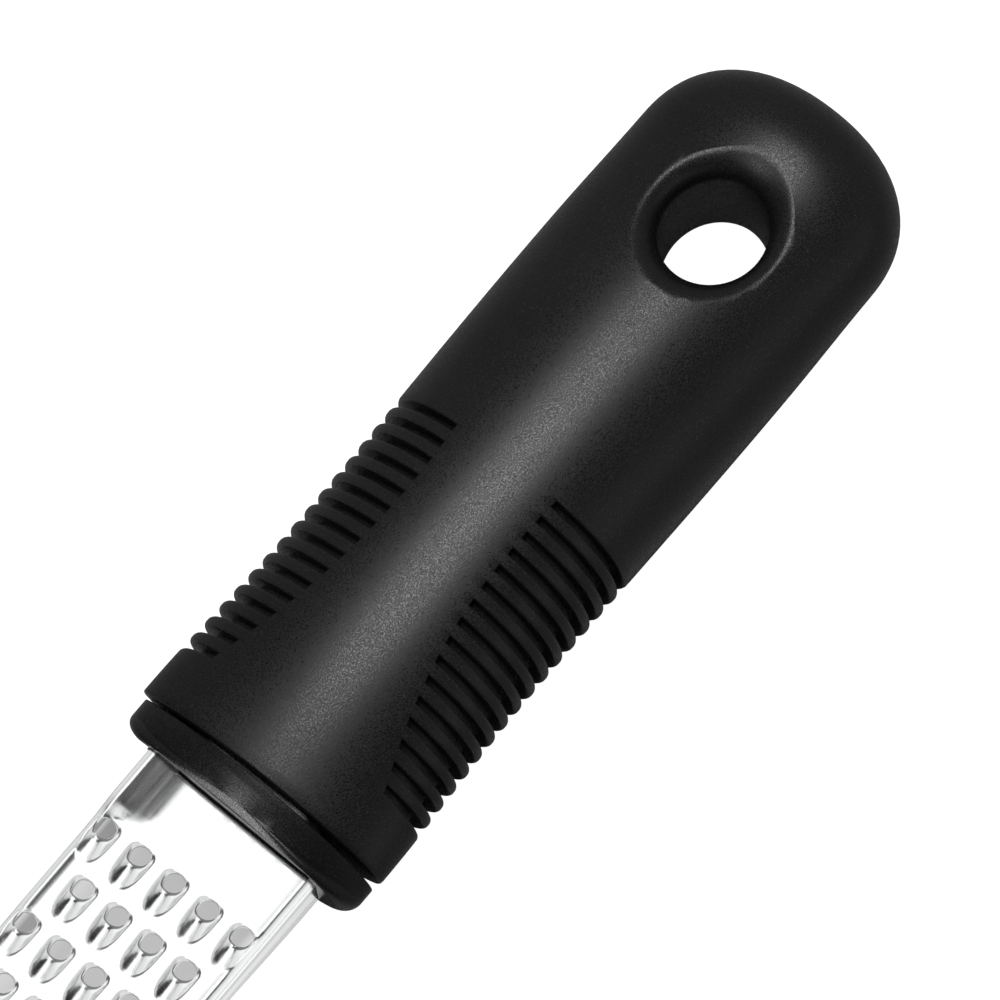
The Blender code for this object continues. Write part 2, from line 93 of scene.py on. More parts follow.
# Pieces are shaped about the grip's axis, with x counted from its front edge
GRIP_FRONT = GRIP_LOW.x
GRIP_LENGTH = GRIP_HIGH.x - GRIP_LOW.x
AXIS_HEIGHT = (GRIP_LOW.z + GRIP_HIGH.z) / 2
AXIS_START = Vector((GRIP_FRONT, 0.0, AXIS_HEIGHT))
COLLAR_FRONT = COLLAR_LOW.x - GRIP_FRONT
COLLAR_BACK = -COLLAR_GAP
BLADE_ROOT = COLLAR_BACK - COLLAR_WEB
BLADE_TIP = BLADE_LOW.x - GRIP_FRONT
TANG_END = BLADE_HIGH.x - GRIP_FRONT
FOOT_BACK = FOOT_HIGH.x - GRIP_FRONT
CORE_HALF_WIDTH = (CORE_HIGH.y - CORE_LOW.y) / 2
CORE_TOP = UPPER_HIGH.z - AXIS_HEIGHT

# Outline of the grip, and the powers of its curves
SECTION_POWER = 2.1
FRONT_POWER_DROP = 0.25
BUTT_POWER = 2.3
BUTT_ROUND = 0.0146
BUTT_EDGE_ROUND = 0.0120
WAIST = 0.0283
WAIST_HALF_WIDTH = 0.01705
WIDEST = GRIP_LENGTH - 0.0308
WIDEST_HALF_WIDTH = 0.0176
SHOULDER = GRIP_LENGTH - BUTT_ROUND
SHOULDER_HALF_WIDTH = 0.0174
SHOULDER_HALF_HEIGHT = 0.0110
SHOULDER_POWER = 1.7
FRONT_HALF_WIDTH = 0.0180
FRONT_HALF_HEIGHT = 0.0086
BELLY = GRIP_LENGTH - 0.0533
BELLY_HALF_HEIGHT = (GRIP_HIGH.z - GRIP_LOW.z) / 2
BELLY_POWER = 2.2
POCKET_POWER = 7.0
# Rings of the grip's rounded front edge: distance behind it and inset
FRONT_EDGE = ((0.0, 0.00035), (0.00006, 0.00018), (0.00018, 0.00006))

# Hanging hole
HOLE_CENTRE = GRIP_LENGTH - 0.0223
HOLE_LENGTH = 0.0140
HOLE_WIDTH = 0.0124
MOUTH_ALONG = 0.0034
MOUTH_ACROSS = 0.0025
MOUTH_DEPTH = 0.0040
MOUTH_STEPS = 8
MOUTH_FLARE = 1.55
# Steps of its cutter over the grip's face, as shares of the mouth's depth and growth
MOUTH_START = ((-0.25, MOUTH_FLARE), (-0.012, 1.03))

# Ribs
RIB_GROOVES = 16
RIB_PITCH = 0.00248
FIRST_GROOVE = 0.0078
LAST_GROOVE = FIRST_GROOVE + RIB_PITCH * (RIB_GROOVES - 1)
CROWN_HALF_WIDTH = 0.00705
CROWN_FLARE = 0.0058
CROWN_POWER = 2.15
CROWN_NARROWEST = 0.0373
CROWN_RUN_OUT = 0.001
CROWN_RETURN = 0.015
RIB_ROUND_GROWTH = 1.15
# Places across half a rib, as shares of it, where its rounded edge is drawn
RIB_STEPS = (0.0, 0.05, 0.17, 0.38, 0.66)

# Blade
BLADE_HALF_WIDTH = (BLADE_HIGH.y - BLADE_LOW.y) / 2
BLADE_LEVEL = UPPER_HIGH.z - CORE_TOP_COVER - AXIS_HEIGHT
BLADE_SIDE = -0.00028
SHEET = 0.0005
BEND_RADIUS = 0.0013
FLAT_HALF_WIDTH = BLADE_HALF_WIDTH - BEND_RADIUS
TOOTHED_HALF_WIDTH = FLAT_HALF_WIDTH + 0.00075
WALL_HEIGHT = 0.0048
ROOT_WALL_HEIGHT = BLADE_LEVEL + 0.0030
ROOT_FLARE = 0.021

# Teeth; the powers shape the ramp, the plan, the arch and the foot of a scoop
TOOTH_PITCH = 0.00509
ROW_PITCH = 0.00709
FIRST_ROW = COLLAR_FRONT - 0.0099
TOOTH_SHIFT = 0.001385
ROWS = 25
WIDE_ROW = 5
TANG_HALF_WIDTH = TOOTH_PITCH * 1.5
TOOTH_FRONT_EDGE = 0.0001
TOOTH_RAMP_POWER = 1.25
TOOTH_PLAN_POWER = 2.7
TOOTH_ARCH_POWER = 0.7
TOOTH_FOOT_POWER = 0.74
TOOTH_FILLET_HEIGHT = 0.00006
# Rings down a scoop's flank, as shares of the way from its lip to its foot
TOOTH_RINGS = (0.0, 0.2, 0.42, 0.64, 0.82, 0.94, 1.0)
# Rings of the hollow round the foot, as shares of its width and height
TOOTH_FILLET_RINGS = ((0.4, 0.33), (1.0, 0.0))

# The sheet's rims roll up, and its far side dishes where it enters the collar
NEAR_RIM = 0.00009
FAR_RIM = 0.00018
RIM_WIDTH = 0.0013
DISH_RUN = 0.45
DISH_REACH = 0.0054
DISH_SLOPE = 0.21
DISH_POWER = 1.15
# Cuts along the sheet, from the start of its bend, that let it follow its rims
RIM_CUTS = (-0.0009, -0.00045, 0.0, 0.0002)
PLAIN_STEPS = 8
# Width beside each bend that the slots follow, and in how many steps
SLOT_SPAN = 0.0059
SLOT_STEPS = 6

# Collar, which stands slightly askew; its joint faces lean back on the far side
COLLAR_EXTRA_WIDTH = 0.00025
COLLAR_SKEW = 0.02
SPIGOT_START = 0.0002
LEAN_REACH = 0.006
JOINT_LEAN = 0.10
# Rings of its rear: distance ahead of its back, side inset, crown inset and share of the lean
COLLAR_REAR = ((0.0, 0.0001, 0.0001, 1.0), (0.0001, 0.0, 0.00003, 1.0),
               (0.00085, 0.0, 0.00012, 0.5), (0.0013, 0.0, 0.00022, 0.0))
# Bevelled crown of its front: distance behind the nose and depth below the collar's top
COLLAR_CROWN = ((0.00118, 0.00082), (0.00103, 0.00087), (0.00093, 0.00091), (0.00085, 0.00095),
                (0.00075, 0.00101), (0.00060, 0.00109), (0.00045, 0.00117), (0.00028, 0.00127),
                (0.00012, 0.00136), (0.00004, 0.00144), (0.0, 0.00160))
CORNER_DEPTH = 0.0024
CORNER_INSET = 0.0027
FACE_SIDE_INSET = 0.0048
FACE_CROWN_INSET = 0.0037
FACE_LEAN = 0.25
FACE_SQUARENESS = 1.4
# Nose over the blade, with a groove across the collar behind its edge
NOSE = 0.00035
NOSE_DEPTH = 0.0008
NOSE_SIDES = (-0.0117, 0.0080)
NOSE_UNDER = 0.00105
NOSE_OVER = 0.00065
NOSE_EDGE = 0.00004
GROOVE_START = 0.00018
GROOVE_HALF_WIDTH = 0.0150
GROOVE_FLOOR = 0.00020
GROOVE_OVER = 0.0006

# Foot
FOOT_CORNER = 0.0038
FOOT_EDGE = 0.0007

# Mesh fineness
AROUND = 96
CROWN_COLUMNS = 9
TOOTH_POINTS = 24
FRONT_STATIONS = 7
FRONT_START = 0.0006
FRONT_STEP = 0.0009
MIDDLE_STATIONS = 36
MIDDLE_START = 0.0008
BUTT_STATIONS = 22
BAR_STRIPS = 12
BAR_STRIP = 0.001
OUTSIDE = 0.01
MERGE = 0.000002
FINE_MERGE = 1e-7

# Finish of each moulding: roughness, depth of grain and unevenness
RUBBER_FINISH = (0.36, 0.000022, 0.20)
COLLAR_FINISH = (0.26, 0.000020, 0.08)
CORE_FINISH = (0.5, 0.00003, 0.08)
CORE_COLOUR = (0.09, 0.09, 0.10)
CORE_GRAIN = 0.0003
STEEL_ROUGHNESS = 0.20

# Painted shade on the walls and a painted dark reflection line along the bends: share of the colour kept,
# and where it fades below the sheet
WALL_PAINTED_SHADE_SHARE = 0.62
WALL_PAINTED_SHADE_FADE = (0.0010, 0.0005)
BEND_PAINTED_REFLECTION_SHARE = 0.75
BEND_PAINTED_REFLECTION_LINE = 0.0011
BEND_PAINTED_REFLECTION_FADE = (0.0002, 0.0006)

# World's two strengths along an axis, and where it changes
WORLD_SIDE = (0.03, 0.28, -0.35, 0.05)
WORLD_OVER = (1.0, 0.25, 0.55, 0.80)

# Painted shadow on the floor under the blade: its middle line and soft borders
PAINTED_SHADOW_MIDDLE = 0.0037
PAINTED_SHADOW_BORDER = (0.0105, 0.0130)
PAINTED_SHADOW_END = 0.012
PAINTED_SHADOW_PAST_FOOT = 0.002
# Glow of the painted shadow on its near side and of its darker painted band on the far side, and where it
# changes
PAINTED_SHADOW_GLOW = (0.43, 0.06)
PAINTED_SHADOW_CHANGE = (0.0122, 0.0130)
FLOOR_HALF_SIZE = 4.0
FLOOR_DROP = 0.0002

# Studio lights: name, place, target, width, depth, glow and the group that it lights
BESIDE, CENTRE = (0.10, 0.0, 0.0), (0.0, 0.0, 0.0)
STUDIO_LIGHTS = (
    ("overhead_box", (0.21, 0.12, 1.03), BESIDE, 0.90, 0.34, 10.5, "lit_black"),
    ("end_strip", (-0.66, 0.18, 0.72), CENTRE, 0.7, 0.30, 4.0, "lit_black"),
    ("collar_overhead", (0.37, 0.12, 1.03), BESIDE, 0.56, 0.34, 10.5, "lit_collar"),
    ("collar_strip", (-0.66, 0.18, 0.72), CENTRE, 0.7, 0.24, 14.0, "lit_collar"),
    ("side_box", (0.05, -1.25, 0.40), BESIDE, 1.8, 0.6, 0.3, "lit_black"),
    ("steel_overhead_box", (0.20, 0.19, 1.03), CENTRE, 1.2, 0.42, 1.4, "lit_steel"),
    ("steel_end_strip", (-0.62, 0.16, 0.74), CENTRE, 0.8, 0.34, 1.3, "lit_steel"),
    ("steel_end_box", (-0.44, -0.12, 0.90), CENTRE, 0.36, 0.5, 1.0, "lit_steel"),
    ("steel_near_box", (-0.10, -0.83, 0.56), CENTRE, 1.5, 1.1, 0.85, "lit_steel"),
    ("steel_far_box", (0.32, 0.75, 0.60), CENTRE, 1.3, 1.1, 0.6, "lit_steel"))

# Camera: its view line, aim, turn about the view line and long lens
LOOK = (0.22, 0.2206, -1.0)
AIM = (GRIP_FRONT + 0.04431, 0.00054, AXIS_HEIGHT)
CAMERA_DISTANCE = 1.0
CAMERA_TURN = 49.63
FOCAL_SHARE = 8594 / 1000
SENSOR = 36.0


class GraterSizes(bpy.types.PropertyGroup):
    """Small sizes of the shown pieces that the frame leaves open."""

    groove_width: FloatProperty(
        name="Groove Width", description="Width of each groove between two ribs",
        default=0.0010, min=0.0004, max=0.0016, unit="LENGTH", precision=5)
    groove_depth: FloatProperty(
        name="Groove Depth", description="Depth of each groove below the grip's surface",
        default=0.0021, min=0.0005, max=0.0030, unit="LENGTH", precision=5)
    rib_round: FloatProperty(
        name="Rib Round", description="Radius of the ribs' edges at the sides of the grip",
        default=0.00062, min=0.0001, max=0.0007, unit="LENGTH", precision=5)
    crown_round: FloatProperty(
        name="Crown Round", description="Radius of the ribs' edges where they meet the crown",
        default=0.00012, min=0.00005, max=0.0005, unit="LENGTH", precision=5)
    mouth_turn: FloatProperty(
        name="Mouth Turn", description="Angle at which the hanging hole's mouths leave the grip's faces",
        default=radians(26), min=radians(5), max=radians(60), unit="ROTATION")
    tooth_height: FloatProperty(
        name="Tooth Height", description="Height of each tooth's lip over the sheet",
        default=0.00115, min=0.0004, max=0.0014, unit="LENGTH", precision=5)
    tooth_radius: FloatProperty(
        name="Tooth Hole Radius", description="Radius of the hole in each tooth",
        default=0.00137, min=0.0008, max=0.0018, unit="LENGTH", precision=5)
    tooth_reach: FloatProperty(
        name="Tooth Reach", description="Length of each tooth from the centre of its hole to its tip",
        default=0.00455, min=0.0025, max=0.0046, unit="LENGTH", precision=5)
    tooth_side: FloatProperty(
        name="Tooth Side", description="Width of each tooth's flank beside its hole",
        default=0.00028, min=0.0001, max=0.0005, unit="LENGTH", precision=5)
    tooth_fillet: FloatProperty(
        name="Tooth Fillet", description="Width of the soft hollow round each tooth's foot",
        default=0.00030, min=0.0001, max=0.0004, unit="LENGTH", precision=5)
    bend_steps: IntProperty(
        name="Bend Steps", description="Segments round each bend of the blade",
        default=6, min=2, max=12)


class GraterFinish(bpy.types.PropertyGroup):
    """Colours and finishes."""

    rubber_colour: FloatVectorProperty(
        name="Soft Black", description="Colour of the soft grip and the foot",
        default=(0.0045, 0.0045, 0.0047), min=0.0, max=1.0, subtype="COLOR")
    collar_colour: FloatVectorProperty(
        name="Collar Black", description="Colour of the moulded collar",
        default=(0.0045, 0.0045, 0.0047), min=0.0, max=1.0, subtype="COLOR")
    steel_colour: FloatVectorProperty(
        name="Steel", description="Colour of the polished steel",
        default=(0.86, 0.865, 0.87), min=0.0, max=1.0, subtype="COLOR")
    floor_colour: FloatVectorProperty(
        name="Floor", description="Colour of the plain floor",
        default=(0.22, 0.22, 0.22), min=0.0, max=1.0, subtype="COLOR")
    grain_size: FloatProperty(
        name="Grain Size", description="Size of the moulded grain on the grip",
        default=0.00017, min=0.00005, max=0.001, unit="LENGTH", precision=6)
    light_strength: FloatProperty(
        name="Light Strength", description="Share of the studio lights' full strength",
        default=1.0, min=0.0, max=4.0, subtype="FACTOR")


def add_item(context, name, data):
    item = bpy.data.objects.new(name, data)
    context.scene.collection.objects.link(item)
    return item


def add_mesh(context, name, bm):
    """Turn a bmesh into an object of the scene, and free it."""
    mesh = bpy.data.meshes.new(name)
    bm.to_mesh(mesh)
    bm.free()
    return add_item(context, name, mesh)


def add_piece(context, bm, name, material, node, sharp):
    """Turn a bmesh about the grip's axis into a named piece that stands for a CAD node."""
    bmesh.ops.translate(bm, verts=bm.verts, vec=AXIS_START)
    piece = add_mesh(context, name, bm)
    piece.data.materials.append(material)
    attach(piece, "root")
    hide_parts(node)
    piece.data.shade_smooth()
    piece.data.set_sharp_from_angle(angle=radians(sharp))
    return piece


def everything(bm):
    return bm.verts[:] + bm.edges[:] + bm.faces[:]


def moved_verts(geometry):
    return [item for item in geometry if isinstance(item, bmesh.types.BMVert)]


def add_box(bm, low, high):
    shape = Matrix.Translation((low + high) / 2) @ Matrix.Diagonal((*(high - low), 1.0))
    bmesh.ops.create_cube(bm, size=1.0, matrix=shape)


def round_edges(bm, edges, radius, steps):
    bmesh.ops.bevel(bm, geom=edges, offset=radius, affect="EDGES", segments=steps, profile=0.5,
                    material=-1)


def slice_along(bm, y, dist):
    """Cut the mesh along the tool at y, and keep both parts joined."""
    bmesh.ops.bisect_plane(bm, geom=everything(bm), dist=dist, plane_co=(0.0, y, 0.0),
                           plane_no=(0.0, 1.0, 0.0))


def combine(context, bm, other, operation="DIFFERENCE"):
    """Join one closed bmesh to another with an exact Boolean, and return the outcome."""
    items = [add_mesh(context, "worked", bm), add_mesh(context, "worker", other)]
    modifier = items[0].modifiers.new("combine", "BOOLEAN")
    modifier.operation = operation
    modifier.solver = "EXACT"
    modifier.object = items[1]
    context.view_layer.update()
    left = bmesh.new()
    left.from_object(items[0], context.evaluated_depsgraph_get())
    for item in items:
        mesh = item.data
        bpy.data.objects.remove(item, do_unlink=True)
        bpy.data.meshes.remove(mesh)
    return left


def extrude(bm, edges):
    """Extrude open edges once; returns the new edges and the new points."""
    grown = bmesh.ops.extrude_edge_only(bm, edges=edges)["geom"]
    return [item for item in grown if isinstance(item, bmesh.types.BMEdge)], moved_verts(grown)


def sweep(bm, count, places, closed=True):
    """Tube from one circle, extruded from place to place; each place gives the point for step k."""
    step = bm.verts.layers.int.get("step") or bm.verts.layers.int.new("step")
    verts = bmesh.ops.create_circle(bm, cap_ends=False, radius=1.0, segments=count)["verts"]
    edges = first = list({edge for vert in verts for edge in vert.link_edges})
    for k, vert in enumerate(verts):
        vert[step] = k
        vert.co = places[0](k)
    for place in places[1:]:
        edges, verts = extrude(bm, edges)
        for vert in verts:
            vert.co = place(vert[step])
    if closed:
        bmesh.ops.contextual_create(bm, geom=first)
        bmesh.ops.contextual_create(bm, geom=edges)
        bmesh.ops.recalc_face_normals(bm, faces=bm.faces)


def ease(share):
    return (1 - cos(pi * min(max(share, 0.0), 1.0))) / 2


def between(first, second, share):
    return first + (second - first) * share


def signed_power(value, power):
    return abs(value) ** power * (1.0 if value >= 0 else -1.0)


def unit(k, count):
    """Cosine and sine of step k of count round a full turn."""
    angle = 2 * pi * k / count
    return cos(angle), sin(angle)


def rounded_end(x, reach):
    """Share of its size that the grip keeps at x, where its butt rounds off over the reach."""
    share = min(max((x - GRIP_LENGTH + reach) / reach, 0.0), 0.99995)
    return (1 - share ** BUTT_POWER) ** (1 / BUTT_POWER)


def grip_half_width(x):
    """Half width of the grip at x behind its front edge."""
    if x < WAIST:
        return between(FRONT_HALF_WIDTH, WAIST_HALF_WIDTH, ease(x / WAIST))
    if x < WIDEST:
        return between(WAIST_HALF_WIDTH, WIDEST_HALF_WIDTH, ease((x - WAIST) / (WIDEST - WAIST)))
    width = between(WIDEST_HALF_WIDTH, SHOULDER_HALF_WIDTH, ease((x - WIDEST) / (SHOULDER - WIDEST)))
    return width * rounded_end(x, BUTT_ROUND)


def grip_half_height(x):
    """Half height of the grip at x behind its front edge."""
    if x < BELLY:
        rise = 1 - (1 - max(x, 0.0) / BELLY) ** BELLY_POWER
        return between(FRONT_HALF_HEIGHT, BELLY_HALF_HEIGHT, rise)
    fall = min((x - BELLY) / (SHOULDER - BELLY), 1.0) ** SHOULDER_POWER
    return between(BELLY_HALF_HEIGHT, SHOULDER_HALF_HEIGHT, fall) * rounded_end(x, BUTT_EDGE_ROUND)


def section_power(x):
    """Power of the oval section, which is a little rounder at the front edge."""
    return SECTION_POWER - FRONT_POWER_DROP * (1 - ease(x / WAIST))


def crown_line(x):
    """Angle from the top at which the grooves end, so that a column of the mesh runs along it."""
    inside = min(max(x, FIRST_GROOVE), LAST_GROOVE + CROWN_RUN_OUT)
    away = abs(inside - CROWN_NARROWEST) / (CROWN_NARROWEST - FIRST_GROOVE)
    across = (CROWN_HALF_WIDTH + CROWN_FLARE * away ** CROWN_POWER) / grip_half_width(inside)
    angle = asin(across ** (section_power(inside) / 2))
    natural = radians(90 * CROWN_COLUMNS / (AROUND / 4))
    return between(angle, natural, ease((x - LAST_GROOVE - CROWN_RUN_OUT) / CROWN_RETURN))


def column_angle(k, x):
    """Angle of column k of the grip's mesh from the top or bottom at x, its side, and up or down."""
    quarter = AROUND // 4
    from_top = abs((k - quarter + AROUND // 2) % AROUND - AROUND // 2)
    over = from_top <= quarter
    steps = from_top if over else AROUND // 2 - from_top
    line = crown_line(x)
    if steps <= CROWN_COLUMNS:
        angle = line * steps / CROWN_COLUMNS
    else:
        angle = line + (pi / 2 - line) * (steps - CROWN_COLUMNS) / (quarter - CROWN_COLUMNS)
    side = -1 if quarter < k < 3 * quarter else 1
    return angle, side, 1 if over else -1


def section_point(k, x, half_width, half_height):
    """Point of column k on an oval section at x."""
    angle, side, up = column_angle(k, x)
    power = 2 / section_power(x)
    y = side * half_width * abs(sin(angle)) ** power
    z = up * half_height * abs(cos(angle)) ** power
    return Vector((x, y, z))


def rib_inset(sizes, x, sideways):
    """How far a rib's rounded edge draws the surface in; sideways is 0 on the crown, 1 beside."""
    nearest = min(max(round((x - FIRST_GROOVE) / RIB_PITCH), 0), RIB_GROOVES - 1)
    away = abs(x - FIRST_GROOVE - RIB_PITCH * nearest) - sizes.groove_width / 2
    radius = between(sizes.crown_round, sizes.rib_round, sideways)
    if away >= radius:
        return 0.0
    depth = radius - max(away, 0.0)
    return radius - (radius ** 2 - depth ** 2) ** 0.5


def grip_stations(sizes):
    """Places along the grip: close by the ribs' edges and the rounded ends, wider elsewhere."""
    stations = []
    half = sizes.groove_width / 2
    rib = RIB_PITCH / 2 - half
    for k in range(RIB_GROOVES):
        centre = FIRST_GROOVE + RIB_PITCH * k
        stations += [centre - half - rib * step for step in reversed(RIB_STEPS)]
        stations += [centre + half + rib * step for step in RIB_STEPS]
        if k < RIB_GROOVES - 1:
            stations.append(centre + RIB_PITCH / 2)
    front = [FRONT_START + FRONT_STEP * k for k in range(FRONT_STATIONS)]
    start = stations[-1] + MIDDLE_START
    middle = [start + (SHOULDER - start) * k / MIDDLE_STATIONS for k in range(MIDDLE_STATIONS)]
    turns = [radians(90 * k / BUTT_STATIONS) for k in range(BUTT_STATIONS + 1)]
    return front + stations + middle + [SHOULDER + BUTT_ROUND * sin(turn) for turn in turns]


def surface_place(sizes, x):
    """Place function of the grip's surface at station x."""
    half_width, half_height, line = grip_half_width(x), grip_half_height(x), crown_line(x)

    def place(k):
        angle = column_angle(k, x)[0]
        inset = 0.0
        if angle >= line - 0.001:
            inset = rib_inset(sizes, x, ease((angle - line) / (pi / 2 - line) * RIB_ROUND_GROWTH))
        return section_point(k, x, half_width - inset, half_height - inset)

    return place


def front_place(x, inset):
    """Place function of one ring of the grip's front edge, which leans back on its far side."""
    half_width, half_height = grip_half_width(0.0) - inset, grip_half_height(0.0) - inset

    def place(k):
        spot = section_point(k, x, half_width, half_height)
        spot.x += JOINT_LEAN * lean(spot.y, spot.z)
        return spot

    return place


def pocket_place(x, half_width, half_height):
    """Place function of a rounded box section, for the room that the core and spigot fill."""

    def place(k):
        angle, side, up = column_angle(k, 0.0)
        y = side * half_width * min(abs(sin(angle)) ** (2 / POCKET_POWER), 1.0)
        z = up * half_height * min(abs(cos(angle)) ** (2 / POCKET_POWER), 1.0)
        return Vector((x, y, z))

    return place


def make_grip(context, sizes, material):
    """Soft grip: an extruded oval with ribbed sides, a pocket at its front and a hanging hole."""
    bm = bmesh.new()
    pocket_width = CORE_HALF_WIDTH + CLEARANCE
    pocket_height = CORE_TOP + CLEARANCE
    pocket_end = CORE_HIGH.x - GRIP_FRONT + CLEARANCE
    places = [pocket_place(pocket_end, pocket_width, pocket_height),
              pocket_place(0.0, pocket_width, pocket_height)]
    places += [front_place(*ring) for ring in FRONT_EDGE]
    places += [surface_place(sizes, x) for x in grip_stations(sizes)]
    sweep(bm, AROUND, places)
    cut_grooves(bm, sizes)
    hole = bmesh.new()
    sweep(hole, AROUND, [hole_place(*level) for level in hole_levels(sizes)])
    bm = combine(context, bm, hole)
    add_piece(context, bm, "grip_soft_moulding", material, "soft_grip", 40)


def cut_grooves(bm, sizes):
    """Push the bands between the ribs inwards, from one crown line round the side to the other."""
    step = bm.verts.layers.int.get("step")
    half = sizes.groove_width / 2
    quarter = AROUND // 4
    bands = []
    for face in bm.faces:
        near = round((face.calc_center_median().x - FIRST_GROOVE) / RIB_PITCH)
        centre = FIRST_GROOVE + RIB_PITCH * near
        away = [abs(vert[step] % (AROUND // 2) - quarter) for vert in face.verts]
        if (0 <= near < RIB_GROOVES and len(face.verts) == 4 and min(away) >= CROWN_COLUMNS
                and all(abs(abs(vert.co.x - centre) - half) < MERGE for vert in face.verts)):
            bands.append(face)
    grown = bmesh.ops.extrude_face_region(bm, geom=bands)["geom"]
    bmesh.ops.delete(bm, geom=[face for face in bands if face.is_valid], context="FACES")
    for vert in moved_verts(grown):
        x = vert.co.x
        half_width = grip_half_width(x) - sizes.groove_depth
        half_height = grip_half_height(x) - sizes.groove_depth
        vert.co = section_point(vert[step], x, half_width, half_height)
    bmesh.ops.recalc_face_normals(bm, faces=bm.faces)


def hole_levels(sizes):
    """Steps down through the hanging hole as (side, depth, growth), in shares of a mouth's sizes."""
    start = sizes.mouth_turn
    mouth = [(None, MOUTH_FLARE), *MOUTH_START]
    for step in range(MOUTH_STEPS + 1):
        turn = start + (pi / 2 - start) * step / MOUTH_STEPS
        mouth.append(((cos(start) - cos(turn)) / cos(start), (1 - sin(turn)) / (1 - sin(start))))
    return [(1, *level) for level in mouth] + [(-1, *level) for level in reversed(mouth)]


def hole_place(side, depth, grow):
    """Place function of one ring of the hole, which follows the curved face of the grip."""

    def place(k):
        ux, uy = unit(k, AROUND)
        x = HOLE_CENTRE + (HOLE_LENGTH / 2 + grow * MOUTH_ALONG) * ux
        y = (HOLE_WIDTH / 2 + grow * MOUTH_ACROSS) * uy
        if depth is None:
            return Vector((x, y, side * (BELLY_HALF_HEIGHT + OUTSIDE)))
        across = min(abs(y) / grip_half_width(x), 0.999)
        surface = grip_half_height(x) * (1 - across ** SECTION_POWER) ** (1 / SECTION_POWER)
        return Vector((x, y, side * (surface - depth * MOUTH_DEPTH)))

    return place


def plate_rise(x, y):
    """How far the sheet stands up beside its bends, and on one side where it enters the collar."""
    near = ease((x - FIRST_ROW) / (COLLAR_FRONT - FIRST_ROW) / DISH_RUN)
    reach = DISH_REACH * near
    inside = min(abs(y), FLAT_HALF_WIDTH)
    rim = FAR_RIM * (1 - near) if y > 0 else NEAR_RIM
    rise = rim * max((inside - FLAT_HALF_WIDTH + RIM_WIDTH) / RIM_WIDTH, 0.0) ** 2
    if reach > 0 and y > 0:
        share = max((inside - FLAT_HALF_WIDTH + reach) / reach, 0.0)
        rise += DISH_SLOPE * reach * share ** DISH_POWER / DISH_POWER
    return rise


def channel_cutter(start, end, wall, rise_at):
    """Closed bmesh of the bent sheet's section with a little room round it, from start to end."""
    bm = bmesh.new()
    gap = SLOT_ROOM
    outer = BLADE_HALF_WIDTH + gap
    inner = BLADE_HALF_WIDTH - SHEET - gap
    inwards = [FLAT_HALF_WIDTH - SLOT_SPAN * step / SLOT_STEPS for step in range(1, SLOT_STEPS + 1)]
    half = [(y, gap) for y in reversed(inwards)]
    for turn in (0, 22.5, 45, 67.5, 90):
        y = FLAT_HALF_WIDTH + (BEND_RADIUS + gap) * sin(radians(turn))
        half.append((y, (BEND_RADIUS + gap) * cos(radians(turn)) - BEND_RADIUS))
    half += [(outer, -wall - gap), (inner, -wall - gap), (inner, -SHEET - gap)]
    half += [(y, -SHEET - gap) for y in inwards]
    outline = half + [(-y, z) for y, z in reversed(half)]
    corners = [bm.verts.new((start, y, z + BLADE_LEVEL + plate_rise(rise_at, y))) for y, z in outline]
    grown = bmesh.ops.extrude_face_region(bm, geom=[bm.faces.new(corners)], use_keep_orig=True)["geom"]
    bmesh.ops.translate(bm, verts=moved_verts(grown), vec=(end - start, 0.0, 0.0))
    bmesh.ops.recalc_face_normals(bm, faces=bm.faces)
    return bm


def lean(y, z):
    """How far the far side of the joint faces lies back below the blade, for one unit of lean."""
    return max(BLADE_LEVEL - z, 0.0) * (1 + tanh(y / LEAN_REACH)) / 2


def collar_place(x, side_inset, crown_inset, deep=0.0, tuck=0.0, squarer=0.0):
    """Place function of an oval ring of the collar: sides deep behind its crown, far side tucked back,
    upper half squarer."""
    half_width = (COLLAR_HIGH.y - COLLAR_LOW.y) / 2 + COLLAR_EXTRA_WIDTH
    half_height = (COLLAR_HIGH.z - COLLAR_LOW.z) / 2
    under, over = 2 / section_power(0.0), 2 / (section_power(0.0) + squarer)

    def place(k):
        ux, uy = unit(k, AROUND)
        power = over if k < AROUND / 2 else under
        side = ux ** 4
        inset = between(crown_inset, side_inset, side)
        y = (half_width - inset) * signed_power(ux, power)
        z = (half_height - inset) * signed_power(uy, power)
        return Vector((x + deep * side + tuck * lean(y, z) + y * COLLAR_SKEW, y + BLADE_SIDE, z))

    return place


def plate_bar(low, high, edge=0.0):
    """Bar across the collar that follows the blade's dished sheet."""
    bm = bmesh.new()
    add_box(bm, Vector(low), Vector(high))
    if edge:
        round_edges(bm, bm.edges, edge, 3)
    for k in range(BAR_STRIPS):
        slice_along(bm, BAR_STRIP * k, FINE_MERGE)
    for vert in bm.verts:
        vert.co.z += plate_rise(COLLAR_FRONT, vert.co.y)
        vert.co.x += vert.co.y * COLLAR_SKEW
        vert.co.y += BLADE_SIDE
    return bm


